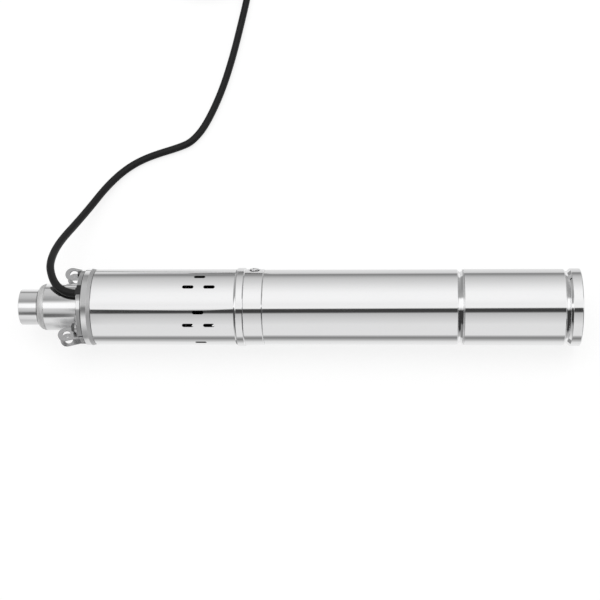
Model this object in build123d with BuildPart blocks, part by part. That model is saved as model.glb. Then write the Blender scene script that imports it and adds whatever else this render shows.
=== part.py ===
from build123d import *
import math
import os

os.makedirs("parts", exist_ok=True)

# The pump lies along X: outlet mouth at the origin, motor end towards +X, Z up.
# Lengths are in millimetres and angles in degrees. A clock angle is measured from the top, towards -Y.

# Outlet head
outlet_radius = 12.06
outlet_depth = 17.0
neck_radius = 18.2
neck_length = 19.2
neck_chamfer = 0.6
shoulder_length = 8.0
bell_length = 36.0
bell_wall = 3.0
throat_step = 1.5
throat_length = 6.0
throat_taper = 8.0
flange_thickness = 4.2
flange_edge = 0.4
gasket_thickness = 0.7
gasket_margin = 0.4

# Head ring and pump tube
ring_length = 5.7
ring_edge = 0.5
ring_bevel_length = 3.7
spigot_length = 9.0
tube_radius = 38.0
tube_wall = 1.5
tube_length = 143.0
tube_edge = 0.8

# Radial steps of the casing from the outside of the pump tube, outwards or inwards
collar_height = 1.4
ring_height = 0.8
ring_bevel_inset = 0.2
flange_inset = 0.3
bell_inset = 14.3
motor_tube_inset = 0.5
waist_inset = 1.6
waist_rim_inset = 0.3
lower_tube_inset = 0.2
cap_waist_inset = 1.2
cap_height = 0.4
screw_circle_inset = 5.7
ear_head_inset = 3.6
ear_base_outset = 0.1
ear_base_depth = 10.6
plug_spotface_inset = 1.0

# Strainer slots
slot_length = 11.4
slot_width = 3.8
slot_setback = 35.0
slot_row_spacing = 21.1
slot_count = 6
outer_row_angle = -4.35
middle_row_angle = 35.3

# Seal section
collar_length = 8.5
collar_round = 2.4
collar_back_slope = 0.9
collar_gap = 1.1
collar_gap_depth = 0.7
seal_section_length = 18.4
seal_section_bevel = 0.6
oil_chamber_wall = 3.5
front_wall = 8.0
rear_wall = 9.0
seal_bore_radius = 7.2

# Motor casing
motor_tube_length = 192.5
motor_tube_edge = 0.6
motor_spigot_length = 5.5
rolled_edge = 1.2
waist_length = 4.4
waist_hollow = 1.5
waist_rim_length = 1.3
waist_rim_edge = 0.6
lower_tube_length = 98.7
lower_tube_edge = 0.5
lower_spigot_length = 9.6
cap_groove_fall = 2.5
cap_groove_rise = 3.3
cap_groove_depth = 1.5
cap_length = 9.8
cap_bead_edge = 0.8
cap_edge = 0.9
cap_spigot_length = 13.0
cap_wall = 6.0

# Lifting ears and head screws
ear_thickness = 1.6
ear_gap = 10.8
ear_head_radius = 6.95
ear_head_station = 49.0
eye_radius = 4.1
eye_setback = 1.8
foot_clearance = 0.9
foot_radius = 5.3
screw_angle = 67.0
screw_radius = 2.5
screw_grip = 10.0
screw_head_radius = 4.0
screw_head_height = 3.5
screw_head_chamfer = 0.5
screw_head_turn = 46.0
washer_radius = 5.0
washer_thickness = 1.0

# Check valve
seat_bore_radius = 12.0
seat_step = 1.25
seat_length = 6.0
poppet_radius = 14.0
poppet_thickness = 3.5
poppet_nose_length = 4.5
poppet_nose_taper = 4.5
poppet_stem_radius = 3.0
poppet_stem_length = 26.0
poppet_gap = 0.1
guide_length = 6.0
guide_hub_radius = 5.5
guide_hub_length = 10.0
guide_rim_wall = 2.2
guide_arm_width = 3.0
guide_arm_count = 3
valve_spring_radius = 8.0
valve_spring_wire = 1.2
valve_spring_turns = 4.5

# Helical pump
sleeve_wall = 2.0
sleeve_setback = 3.0
sleeve_lip = 8.0
sleeve_overhang = 2.0
sleeve_shoulder = 5.5
eccentricity = 2.0
rotor_radius = 8.0
rotor_overhang = 3.0
rotor_tail = 1.0
rotor_clearance = 0.15
boss_radius = 5.5
boss_length = 6.0
flexible_radius = 2.5
flexible_length = 32.0
flexible_straight = 8.0
flexible_bend = 50.0
coupling_radius = 8.0
coupling_length = 14.0
coupling_chamfer = 1.0
coupling_gap = 0.15

# Shaft, slinger and seal
shaft_radius = 6.0
shaft_shoulder_radius = 8.0
shaft_shoulder_length = 4.0
shaft_core_radius = 9.0
shaft_end_radius = 5.0
slinger_radius = 12.0
slinger_root_radius = 8.5
slinger_length = 3.2
slinger_gap = 1.0
seal_radius = 13.0
seal_seat_length = 5.0
seal_ring_radius = 11.0
seal_ring_length = 5.4
seal_nose_radius = 9.5
seal_nose_length = 1.4
bellows_radius = 10.5
bellows_root_radius = 8.6
bellows_wall = 1.2
bellows_folds = 4
bellows_length = 10.0
seal_collar_radius = 10.5
seal_collar_length = 2.0

# Motor
upper_bearing_radius = 16.0
upper_bearing_width = 10.0
lower_bearing_radius = 15.0
lower_bearing_width = 9.0
ball_radius = 2.8
ball_count = 7
race_land = 1.4
cage_half_height = 0.9
cage_width = 7.4
bearing_hub_wall = 2.5
bearing_web = 4.0
seat_rim_wall = 3.4
bearing_setback = 2.0
lower_bearing_inset = 5.0
core_gap = 19.0
core_clearance = 0.2
core_yoke = 5.3
core_bore_radius = 18.0
air_gap = 0.4
end_ring_radius = 17.0
end_ring_length = 6.0
stator_slot_count = 12
stator_slot_width = 5.0
stator_slot_lip = 1.5
stator_slot_mouth = 2.0
winding_overhang = 15.0
shaft_tail_gap = 16.0
retaining_ring_wall = 3.0
retaining_ring_width = 1.2
retaining_ring_bite = 0.9

# Capacitor, O-ring and cable
capacitor_radius = 18.0
capacitor_length = 66.0
capacitor_crown = 3.0
clamp_wall = 1.5
clamp_length = 22.0
clamp_base_gap = 6.3
clamp_base_thickness = 2.0
oring_radius = 1.15
oring_station = 5.5
cable_radius = 4.0
cable_tube_gap = 3.0
cable_sleeve_gap = 2.0
grommet_lip_radius = 5.7
grommet_lip = 2.0
grommet_lip_edge = 0.8
grommet_neck_radius = 5.2
gland_radius = 7.0
gland_length = 3.0

# Oil plug
plug_angle = -50.0
plug_station = 9.8
plug_spotface_radius = 6.0
plug_head_radius = 4.5
plug_head_height = 1.8
plug_head_edge = 0.6
plug_socket_radius = 2.0
plug_socket_depth = 1.2
plug_thread_radius = 2.5
plug_thread_length = 8.0
plug_washer_thickness = 0.6

# Fits and clearances
fit = 0.05
running_fit = 0.08
hole_clearance = 0.3
loose_clearance = 0.5

# Supply cable, coil and tail
cord_exit = [(67.0, 0.0), (57.0, 0.0)]
cord_route = [
    (47.9, 3.4, 29.3),
    (40.3, 9.6, 28.5),
    (34.7, 18.8, 26.9),
    (30.1, 32.1, 24.2),
    (28.9, 43.1, 19.9),
    (29.0, 55.2, 14.0),
    (30.3, 68.3, 6.8),
    (33.8, 84.4, -2.2),
    (40.9, 105.9, -13.7),
    (51.3, 133.7, -25.2),
    (65.1, 164.8, -32.7),
    (83.5, 188.8, -35.4),
    (106.3, 204.0, -35.4),
    (143.9, 217.4, -35.4),
    (155.5, 225.3, -35.4),
    (168.4, 245.8, -35.4),
    (183.0, 289.8, -35.4),
    (192.8, 337.4, -35.4),
    (199.5, 382.0, -35.4),
    (205.6, 426.3, -35.4),
    (207.0, 450.0, -35.4),
]
tail_points = [
    (125.0, 532.0, -27.4),
    (109.0, 532.0, -27.4),
    (90.0, 530.0, -29.6),
    (71.0, 524.6, -33.4),
    (53.0, 516.0, -35.4),
    (38.0, 506.0, -35.4),
]
floor_height = -39.4
coil_radius = 52.0
coil_inner_radius = 28.0
coil_edge = 3.0
coil_lead = 30.0
bend_share = 0.45
wire_core_radius = 1.15
wire_core_offset = 1.9
wire_core_length = 24.0
wire_core_count = 3

# Stations along the axis, from the mouth of the outlet
shoulder_start = neck_length
bell_start = shoulder_start + shoulder_length
flange_front = bell_start + bell_length
flange_back = flange_front + flange_thickness
ring_front = flange_back + gasket_thickness
ring_step = ring_front + ring_length
tube_start = ring_step + ring_bevel_length
ring_back = tube_start + spigot_length
collar_start = tube_start + tube_length
collar_end = collar_start + collar_length
seal_front = collar_start - spigot_length
motor_start = collar_end + collar_gap + seal_section_length
motor_end = motor_start + motor_tube_length
rim_start = motor_end + waist_length
lower_start = rim_start + waist_rim_length
lower_end = lower_start + lower_tube_length
cap_groove_middle = lower_end + cap_groove_fall
bead_start = cap_groove_middle + cap_groove_rise
cap_end = bead_start + cap_length
foot_face = flange_front - ear_thickness

# Radii of the casing and of what must pass inside it
collar_radius = tube_radius + collar_height
ring_radius = tube_radius + ring_height
ring_bevel_radius = tube_radius - ring_bevel_inset
flange_radius = tube_radius - flange_inset
bell_radius = tube_radius - bell_inset
motor_tube_radius = tube_radius - motor_tube_inset
waist_radius = tube_radius - waist_inset
waist_rim_radius = tube_radius - waist_rim_inset
lower_tube_radius = tube_radius - lower_tube_inset
cap_waist_radius = tube_radius - cap_waist_inset
cap_radius = tube_radius + cap_height
tube_bore = tube_radius - tube_wall
motor_bore = motor_tube_radius - tube_wall
lower_bore = lower_tube_radius - tube_wall
cable_height = tube_bore - cable_radius - cable_tube_gap
chamber_radius = bell_radius - bell_wall
throat_radius = chamber_radius - throat_step
seat_radius = chamber_radius + seat_step
sleeve_radius = cable_height - cable_radius - cable_sleeve_gap
sleeve_bore = sleeve_radius - sleeve_wall
ring_bore_radius = sleeve_radius - sleeve_shoulder
oil_chamber_radius = cable_height - cable_radius - oil_chamber_wall
plug_spotface_height = tube_radius - plug_spotface_inset
core_radius = motor_bore - core_clearance

# Places of the lifting ears and head screws
screw_circle = tube_radius - screw_circle_inset
ear_head_offset = tube_radius - ear_head_inset
ear_base_outer = tube_radius + ear_base_outset
ear_base_inner = ear_base_outer - ear_base_depth
ear_inner = ear_gap / 2
ear_outer = ear_inner + ear_thickness
foot_inner = bell_radius + foot_clearance

# Stations of the check valve
throat_start = outlet_depth + throat_taper
guide_start = throat_start + throat_length
seat_start = ring_front - seat_length
poppet_face = seat_start - poppet_gap
poppet_back = poppet_face - poppet_thickness

# Stations of the helical pump, worked back from the seal section
slinger_end = seal_front - slinger_gap
slinger_start = slinger_end - slinger_length
coupling_end = slinger_start - coupling_gap
coupling_start = coupling_end - coupling_length
flexible_end = coupling_start + flexible_straight / 2
flexible_start = flexible_end - flexible_length
rotor_end = flexible_start - fit
stator_end = rotor_end - rotor_tail
sleeve_start = tube_start + sleeve_setback
sleeve_end = stator_end + sleeve_overhang
stator_start = sleeve_start + sleeve_lip
stator_length = stator_end - stator_start
rotor_pitch = stator_length / 2
rotor_start = stator_start - rotor_overhang

# Stations of the motor, the lower bearing kept to the end of its tube
housing_end = motor_start + motor_spigot_length
upper_bearing_start = housing_end + bearing_setback
upper_seat_end = upper_bearing_start + upper_bearing_width
core_start = upper_seat_end + core_gap
winding_start = core_start - winding_overhang
lower_bearing_start = motor_end - lower_bearing_inset
winding_end = lower_bearing_start - shaft_tail_gap
core_end = winding_end - winding_overhang


def clock(angle, radius):
    """The y and z of a point at a clock angle and radius."""
    turn = math.radians(angle)
    return (-radius * math.sin(turn), radius * math.cos(turn))


def tube(start, stop, outer, inner=0.0, centre=(0, 0), mode=Mode.ADD):
    """A round bar or sleeve along X between two stations."""
    with BuildSketch(Plane.YZ.offset(start)) as section:
        with Locations(centre):
            Circle(outer)
            if inner > 0:
                Circle(inner, mode=Mode.SUBTRACT)
    extrude(section.sketch, amount=stop - start, mode=mode)


def bore(start, stop, radius, centre=(0, 0)):
    """A round hole along X between two stations."""
    tube(start, stop, radius, centre=centre, mode=Mode.SUBTRACT)


def turned(*outline, mode=Mode.ADD):
    """A closed outline of (station, radius) points, turned about the axis."""
    with BuildSketch(Plane.XZ) as section:
        with BuildLine():
            Polyline(*outline, close=True)
        make_face()
    revolve(section.sketch, axis=Axis.X, mode=mode)


def rims(piece, station, radius):
    """The round edges of a piece at a station and radius."""
    rounds = piece.edges().filter_by(GeomType.CIRCLE)
    at_station = rounds.filter_by(lambda edge: abs(edge.arc_center.X - station) < 0.001)
    return at_station.filter_by(lambda edge: abs(edge.radius - radius) < 0.001)


def coil_spring(start, stop, radius, wire_radius, turns):
    """A round wire spring about the axis, touching both stations."""
    height = stop - start - 2 * wire_radius
    with BuildLine() as path:
        Helix(height / turns, height, radius, center=(start + wire_radius, 0, 0), direction=(1, 0, 0))
    with BuildSketch(Plane(origin=path.line @ 0, z_dir=path.line % 0)) as wire:
        Circle(wire_radius)
    sweep(wire.sketch, path=path.line, is_frenet=True)


def keep(piece, name):
    """Label a finished piece and write its file."""
    piece.part.label = name
    export_step(piece.part, f"parts/{name}.step")


cable_hole = (0, cable_height)
cord_points = [(station, y, cable_height) for station, y in cord_exit] + cord_route
screw_angles = [screw_angle, 180 - screw_angle, 180 + screw_angle, -screw_angle]
screw_centres = [clock(angle, screw_circle) for angle in screw_angles]

# Discharge head: outlet neck, elliptical shoulder, bell and a flange notched for the cable
seat_pocket_radius = seat_radius + fit
notch_depth = flange_radius - cable_height

with BuildPart() as discharge_head:
    with BuildSketch(Plane.XZ):
        with BuildLine():
            EllipticalCenterArc(
                (bell_start, neck_radius), shoulder_length, bell_radius - neck_radius, 90
            )
            Polyline(
                (bell_start, bell_radius),
                (flange_front, bell_radius),
                (flange_front, flange_radius),
                (flange_back, flange_radius),
                (flange_back, seat_pocket_radius),
                (seat_start, seat_pocket_radius),
                (seat_start, chamber_radius),
                (guide_start, chamber_radius),
                (guide_start, throat_radius),
                (throat_start, throat_radius),
                (outlet_depth, outlet_radius),
                (0, outlet_radius),
                (0, neck_radius),
                (shoulder_start, neck_radius),
            )
        make_face()
    revolve(axis=Axis.X)
    chamfer(rims(discharge_head, 0, neck_radius), neck_chamfer)
    chamfer(rims(discharge_head, flange_front, flange_radius), flange_edge)
    with BuildSketch(Plane.YZ.offset(flange_front)):
        with Locations(cable_hole):
            Circle(grommet_neck_radius + fit)
        with Locations((0, cable_height + notch_depth / 2)):
            Rectangle(2 * (grommet_neck_radius + fit), notch_depth)
    extrude(amount=flange_thickness, mode=Mode.SUBTRACT)
    for centre in screw_centres:
        bore(flange_front, flange_back, screw_radius + hole_clearance, centre)
keep(discharge_head, "discharge_head")

# Lifting ears: four bent plates, each held by a head screw
notch_edge = math.sqrt(flange_radius**2 - ear_inner**2) + hole_clearance

ear_number = 0
for side in (1, -1):
    for level in (1, -1):
        ear_number += 1
        ear_plane = Plane.XY.offset(ear_inner if level > 0 else -ear_outer)
        foot_depth = level * (screw_circle * math.cos(math.radians(screw_angle)) - ear_inner)
        screw_y = side * screw_circle * math.sin(math.radians(screw_angle))
        screw_z = level * screw_circle * math.cos(math.radians(screw_angle))
        with BuildPart() as lifting_ear:
            with BuildSketch(ear_plane):
                with BuildLine():
                    CenterArc((ear_head_station, side * ear_head_offset), ear_head_radius, 0, 360)
                    Line((flange_front, side * ear_base_inner), (flange_front, side * ear_base_outer))
                make_hull()
                with Locations(((flange_front + ring_front) / 2, side * (notch_edge + ear_base_outer) / 2)):
                    Rectangle(ring_front - flange_front, ear_base_outer - notch_edge)
                with Locations((ear_head_station + eye_setback, side * ear_head_offset)):
                    Circle(eye_radius, mode=Mode.SUBTRACT)
            extrude(amount=ear_thickness)
            with BuildSketch(Plane.YZ.offset(foot_face)):
                foot_width = abs(screw_y) + foot_radius - foot_inner
                with Locations((side * (foot_inner + foot_width / 2), level * ear_inner + foot_depth / 2)):
                    Rectangle(foot_width, abs(foot_depth))
                with Locations((screw_y, screw_z)):
                    Circle(foot_radius)
                with Locations((screw_y, screw_z)):
                    Circle(screw_radius + hole_clearance, mode=Mode.SUBTRACT)
            extrude(amount=ear_thickness)
        keep(lifting_ear, f"lifting_ear_{ear_number}")

# Head washers and screws
washer_face = foot_face - washer_thickness

with BuildPart() as head_washers:
    for centre in screw_centres:
        tube(washer_face, foot_face, washer_radius, screw_radius + hole_clearance, centre)
keep(head_washers, "head_washers")

with BuildPart() as head_screws:
    with BuildSketch(Plane.YZ.offset(washer_face - screw_head_height)):
        with Locations(*screw_centres):
            RegularPolygon(screw_head_radius, 6, major_radius=False, rotation=screw_head_turn)
    extrude(amount=screw_head_height)
    chamfer(head_screws.faces().sort_by(Axis.X)[:4].edges(), screw_head_chamfer)
    for centre in screw_centres:
        tube(washer_face, ring_front + screw_grip, screw_radius, centre=centre)
keep(head_screws, "head_screws")

# Cable grommet: rounded lip outside the flange, neck that fills the flange's notch
with BuildPart() as cable_grommet:
    tube(flange_front - grommet_lip, flange_front, grommet_lip_radius, centre=cable_hole)
    fillet(cable_grommet.faces().sort_by(Axis.X)[0].edges(), grommet_lip_edge)
    with BuildSketch(Plane.YZ.offset(flange_front)):
        with Locations(cable_hole):
            Circle(grommet_neck_radius)
        with Locations((0, cable_height + notch_depth / 2)):
            Rectangle(2 * grommet_neck_radius, notch_depth)
        Circle(flange_radius - flange_edge, mode=Mode.INTERSECT)
    extrude(amount=flange_thickness)
    bore(flange_front - grommet_lip, flange_back, cable_radius + fit, cable_hole)
keep(cable_grommet, "cable_grommet")

# Head gasket
with BuildPart() as head_gasket:
    tube(flange_back, ring_front, flange_radius - gasket_margin, seat_pocket_radius + loose_clearance)
    bore(flange_back, ring_front, cable_radius + hole_clearance, cable_hole)
    for centre in screw_centres:
        bore(flange_back, ring_front, screw_radius + hole_clearance, centre)
keep(head_gasket, "head_gasket")

# Head ring: bolting face, bevel down to the pump tube, spigot and stator socket
with BuildPart() as head_ring:
    turned(
        (ring_front, ring_bore_radius),
        (ring_front, ring_radius),
        (ring_step, ring_radius),
        (tube_start, ring_bevel_radius),
        (tube_start, tube_bore - fit),
        (ring_back, tube_bore - fit),
        (ring_back, sleeve_radius + fit),
        (sleeve_start, sleeve_radius + fit),
        (sleeve_start, ring_bore_radius),
    )
    fillet(rims(head_ring, ring_front, ring_radius), ring_edge)
    bore(ring_front, ring_back, cable_radius + hole_clearance, cable_hole)
    for centre in screw_centres:
        bore(ring_front, ring_front + screw_grip + hole_clearance, screw_radius + fit, centre)
keep(head_ring, "head_ring")

# Pump tube with three rows of strainer slots
middle_station = collar_start - slot_setback
slot_rows = [
    (middle_station - slot_row_spacing / 2, outer_row_angle),
    (middle_station, middle_row_angle),
    (middle_station + slot_row_spacing / 2, outer_row_angle),
]

with BuildPart() as pump_tube:
    tube(tube_start, collar_start, tube_radius, tube_bore)
    fillet(rims(pump_tube, tube_start, tube_radius), tube_edge)
    for station, first_angle in slot_rows:
        for index in range(slot_count):
            y, z = clock(first_angle + index * 360 / slot_count, tube_bore - tube_wall)
            with BuildSketch(Plane(origin=(station, y, z), x_dir=(1, 0, 0), z_dir=(0, y, z))):
                SlotOverall(slot_length, slot_width)
            extrude(amount=3 * tube_wall, mode=Mode.SUBTRACT)
keep(pump_tube, "pump_tube")

# Valve seat: a ring held between the head and the head ring
with BuildPart() as valve_seat:
    tube(seat_start, ring_front, seat_radius, seat_bore_radius)
keep(valve_seat, "valve_seat")

# Valve poppet: disc, nose in the seat and guide stem
nose_radius = seat_bore_radius - loose_clearance

with BuildPart() as valve_poppet:
    turned(
        (poppet_back - poppet_stem_length, 0),
        (poppet_back - poppet_stem_length, poppet_stem_radius),
        (poppet_back, poppet_stem_radius),
        (poppet_back, poppet_radius),
        (poppet_face, poppet_radius),
        (poppet_face, nose_radius),
        (poppet_face + poppet_nose_length, nose_radius - poppet_nose_taper),
        (poppet_face + poppet_nose_length, 0),
    )
keep(valve_poppet, "valve_poppet")

# Valve guide: rim on the throat step, arms and hub for the stem
guide_back = guide_start + guide_length
guide_rim_inner = chamber_radius - guide_rim_wall

with BuildPart() as valve_guide:
    tube(guide_start, guide_back, chamber_radius - fit, guide_rim_inner)
    tube(guide_start, guide_start + guide_hub_length, guide_hub_radius)
    with BuildSketch(Plane.YZ.offset(guide_start)):
        with PolarLocations((guide_rim_inner + guide_hub_radius) / 2, guide_arm_count):
            Rectangle(guide_rim_inner - guide_hub_radius + guide_rim_wall, guide_arm_width)
    extrude(amount=guide_length)
    bore(guide_start, guide_start + guide_hub_length, poppet_stem_radius + running_fit)
keep(valve_guide, "valve_guide")

# Valve spring between the guide's arms and the poppet
with BuildPart() as valve_spring:
    coil_spring(guide_back, poppet_back, valve_spring_radius, valve_spring_wire / 2, valve_spring_turns)
keep(valve_spring, "valve_spring")

# Stator: steel sleeve and moulded rubber with a double-start cavity
with BuildPart() as stator_sleeve:
    tube(sleeve_start, sleeve_end, sleeve_radius, sleeve_bore)
    tube(sleeve_start, stator_start, sleeve_radius, ring_bore_radius)
keep(stator_sleeve, "stator_sleeve")

with BuildPart() as stator_rubber:
    tube(stator_start, stator_end, sleeve_bore - fit)
    with BuildSketch(Plane.YZ.offset(stator_start), mode=Mode.PRIVATE) as cavity:
        SlotCenterToCenter(4 * eccentricity, 2 * (rotor_radius + rotor_clearance))
    cavity_twist = Solid.extrude_linear_with_rotation(
        cavity.sketch.face(), (stator_start, 0, 0), (stator_length, 0, 0), 360
    )
    add(cavity_twist, mode=Mode.SUBTRACT)
keep(stator_rubber, "stator_rubber")

# Screw rotor: one helical start about its own axis, which sits off the pump's axis
lead_angle = math.radians(-360 * rotor_overhang / rotor_pitch)
rotor_length = rotor_end - rotor_start
crest = (
    eccentricity + eccentricity * math.cos(lead_angle),
    eccentricity * math.sin(lead_angle),
)

with BuildPart() as screw_rotor:
    with BuildSketch(Plane.YZ.offset(rotor_start), mode=Mode.PRIVATE) as rotor_section:
        with Locations(crest):
            Circle(rotor_radius)
    rotor_twist = Solid.extrude_linear_with_rotation(
        rotor_section.sketch.face(),
        (rotor_start, eccentricity, 0),
        (rotor_length, 0, 0),
        360 * rotor_length / rotor_pitch,
    )
    add(rotor_twist)
    tube(rotor_end, rotor_end + boss_length, boss_radius, flexible_radius + fit, (eccentricity, 0))
keep(screw_rotor, "screw_rotor")

# Flexible shaft: leaves the rotor off the axis and reaches the coupling on it
with BuildPart() as flexible_shaft:
    with BuildLine() as flexible_path:
        FilletPolyline(
            (flexible_start, eccentricity),
            (flexible_start + flexible_straight, eccentricity),
            (flexible_end - flexible_straight, 0),
            (flexible_end, 0),
            radius=flexible_bend,
        )
    with BuildSketch(Plane(origin=flexible_path.line @ 0, z_dir=flexible_path.line % 0)):
        Circle(flexible_radius)
    sweep(path=flexible_path.line)
keep(flexible_shaft, "flexible_shaft")

# Drive coupling between the flexible shaft and the motor shaft
with BuildPart() as drive_coupling:
    tube(coupling_start, coupling_end, coupling_radius)
    chamfer(rims(drive_coupling, coupling_start, coupling_radius), coupling_chamfer)
    bore(coupling_start, flexible_end + fit, flexible_radius + fit)
    bore(flexible_end + loose_clearance, coupling_end, shaft_radius + fit)
keep(drive_coupling, "drive_coupling")

# Sand slinger in front of the seal section
with BuildPart() as sand_slinger:
    turned(
        (slinger_start, shaft_radius + fit),
        (slinger_start, slinger_root_radius),
        (slinger_end, slinger_radius),
        (slinger_end, shaft_radius + fit),
    )
keep(sand_slinger, "sand_slinger")

# Seal housing: spigot in the pump tube, collar, oil chamber and spigot in the motor tube
chamber_start = seal_front + front_wall
chamber_end = housing_end - rear_wall
seal_seat_start = chamber_start - seal_seat_length
gap_floor = tube_radius - collar_gap_depth
plug_centre = motor_start - plug_station
plug_y, plug_z = clock(plug_angle, 1)


def plug_plane(height):
    """A plane square to the oil plug at a height above the axis."""
    return Plane(
        origin=(plug_centre, height * plug_y, height * plug_z),
        x_dir=(1, 0, 0),
        z_dir=(0, plug_y, plug_z),
    )


with BuildPart() as seal_housing:
    with BuildSketch(Plane.XZ):
        with BuildLine():
            TangentArc(
                (collar_start + collar_round, collar_radius), (collar_start, tube_radius), tangent=(-1, 0)
            )
            Polyline(
                (collar_start, tube_radius),
                (collar_start, tube_bore - fit),
                (seal_front, tube_bore - fit),
                (seal_front, seal_bore_radius),
                (seal_seat_start, seal_bore_radius),
                (seal_seat_start, seal_radius + fit),
                (chamber_start, seal_radius + fit),
                (chamber_start, oil_chamber_radius),
                (chamber_end, oil_chamber_radius),
                (chamber_end, shaft_radius + loose_clearance),
                (housing_end, shaft_radius + loose_clearance),
                (housing_end, motor_bore - fit),
                (motor_start, motor_bore - fit),
                (motor_start, tube_radius - seal_section_bevel),
                (motor_start - seal_section_bevel, tube_radius),
                (collar_end + collar_gap, tube_radius),
                (collar_end + collar_back_slope, gap_floor),
                (collar_end, collar_radius),
                (collar_start + collar_round, collar_radius),
            )
        make_face()
    revolve(axis=Axis.X)
    bore(seal_front, housing_end, cable_radius + hole_clearance, cable_hole)
    with BuildSketch(plug_plane(plug_spotface_height)):
        Circle(plug_spotface_radius)
    extrude(amount=plug_spotface_radius, mode=Mode.SUBTRACT)
    with BuildSketch(plug_plane(oil_chamber_radius - tube_wall)):
        Circle(plug_thread_radius + fit)
    extrude(amount=plug_spotface_height - oil_chamber_radius + tube_wall, mode=Mode.SUBTRACT)
keep(seal_housing, "seal_housing")

# Oil plug and its sealing washer
with BuildPart() as plug_washer:
    with BuildSketch(plug_plane(plug_spotface_height)):
        Circle(plug_head_radius)
        Circle(plug_thread_radius + fit, mode=Mode.SUBTRACT)
    extrude(amount=plug_washer_thickness)
keep(plug_washer, "plug_washer")

plug_seat = plug_spotface_height + plug_washer_thickness

with BuildPart() as oil_plug:
    with BuildSketch(plug_plane(plug_seat)):
        Circle(plug_head_radius)
    extrude(amount=plug_head_height)
    plug_top = oil_plug.faces().sort_by(lambda face: face.center().Y * plug_y + face.center().Z * plug_z)[-1]
    fillet(plug_top.edges(), plug_head_edge)
    with BuildSketch(plug_plane(plug_seat + plug_head_height)):
        RegularPolygon(plug_socket_radius, 6)
    extrude(amount=-plug_socket_depth, mode=Mode.SUBTRACT)
    with BuildSketch(plug_plane(plug_seat - plug_thread_length)):
        Circle(plug_thread_radius)
    extrude(amount=plug_thread_length)
keep(oil_plug, "oil_plug")

# Mechanical seal: fixed seat, running ring, rubber bellows and collar
seal_face = seal_seat_start + seal_seat_length + fit
seal_ring_end = seal_face + seal_ring_length
bellows_end = seal_ring_end + bellows_length

with BuildPart() as seal_seat:
    tube(seal_seat_start, chamber_start, seal_radius, seal_bore_radius)
keep(seal_seat, "seal_seat")

with BuildPart() as seal_ring:
    tube(seal_face, seal_face + seal_nose_length, seal_nose_radius, shaft_radius + fit)
    tube(seal_face + seal_nose_length, seal_ring_end, seal_ring_radius, shaft_radius + fit)
keep(seal_ring, "seal_ring")

fold_pitch = bellows_length / (2 * bellows_folds)
bellows_crests = [
    (seal_ring_end + index * fold_pitch, bellows_radius if index % 2 else bellows_root_radius)
    for index in range(2 * bellows_folds + 1)
]
bellows_roots = [(station, radius - bellows_wall) for station, radius in reversed(bellows_crests)]

with BuildPart() as seal_bellows:
    turned(*bellows_crests, *bellows_roots)
keep(seal_bellows, "seal_bellows")

with BuildPart() as seal_collar:
    tube(bellows_end, bellows_end + seal_collar_length, seal_collar_radius, shaft_radius + fit)
keep(seal_collar, "seal_collar")

# Cable gland on the seal housing and the inner cable run
with BuildPart() as cable_gland:
    tube(seal_front - gland_length, seal_front, gland_radius, cable_radius + fit, cable_hole)
keep(cable_gland, "cable_gland")

with BuildPart() as inner_cable:
    tube(cord_points[0][0], winding_start, cable_radius, centre=cable_hole)
keep(inner_cable, "inner_cable")

# Upper bearing seat: rim in the motor tube, web and hub
upper_hub_radius = upper_bearing_radius + fit + bearing_hub_wall

with BuildPart() as upper_bearing_seat:
    turned(
        (housing_end, upper_bearing_radius - race_land),
        (housing_end, motor_bore - fit),
        (upper_seat_end, motor_bore - fit),
        (upper_seat_end, motor_bore - seat_rim_wall),
        (housing_end + bearing_web, motor_bore - seat_rim_wall),
        (housing_end + bearing_web, upper_hub_radius),
        (upper_seat_end, upper_hub_radius),
        (upper_seat_end, upper_bearing_radius + fit),
        (upper_bearing_start, upper_bearing_radius + fit),
        (upper_bearing_start, upper_bearing_radius - race_land),
    )
    bore(housing_end, upper_seat_end, cable_radius + hole_clearance, cable_hole)
keep(upper_bearing_seat, "upper_bearing_seat")

# Motor shaft: coupling end, shoulder, core length and lower journal
shaft_shoulder_end = upper_seat_end + shaft_shoulder_length
shaft_end = lower_bearing_start + lower_bearing_width + fit
coupling_shaft_start = flexible_end + loose_clearance + fit

with BuildPart() as motor_shaft:
    turned(
        (coupling_shaft_start, 0),
        (coupling_shaft_start, shaft_radius),
        (upper_seat_end, shaft_radius),
        (upper_seat_end, shaft_shoulder_radius),
        (shaft_shoulder_end, shaft_shoulder_radius),
        (shaft_shoulder_end, shaft_core_radius),
        (winding_end, shaft_core_radius),
        (winding_end, shaft_shoulder_radius - race_land),
        (lower_bearing_start, shaft_shoulder_radius - race_land),
        (lower_bearing_start, shaft_end_radius),
        (shaft_end, shaft_end_radius),
        (shaft_end, 0),
    )
keep(motor_shaft, "motor_shaft")

# Ball bearings: races with a ball groove, caged balls


def bearing_middle(bore_radius, outer_radius):
    """The radius of the circle on which a bearing's balls run."""
    return (bore_radius + outer_radius) / 2


def ball_places(start, width, pitch_radius):
    """The centres of a bearing's balls."""
    places = []
    for index in range(ball_count):
        y, z = clock(index * 360 / ball_count, pitch_radius)
        places.append((start + width / 2, y, z))
    return places


def ball_groove(start, width, pitch_radius):
    """Cut the groove in which a bearing's balls run."""
    with BuildSketch(Plane.XZ) as groove:
        with Locations((start + width / 2, pitch_radius)):
            Circle(ball_radius + fit)
    revolve(groove.sketch, axis=Axis.X, mode=Mode.SUBTRACT)


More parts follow.
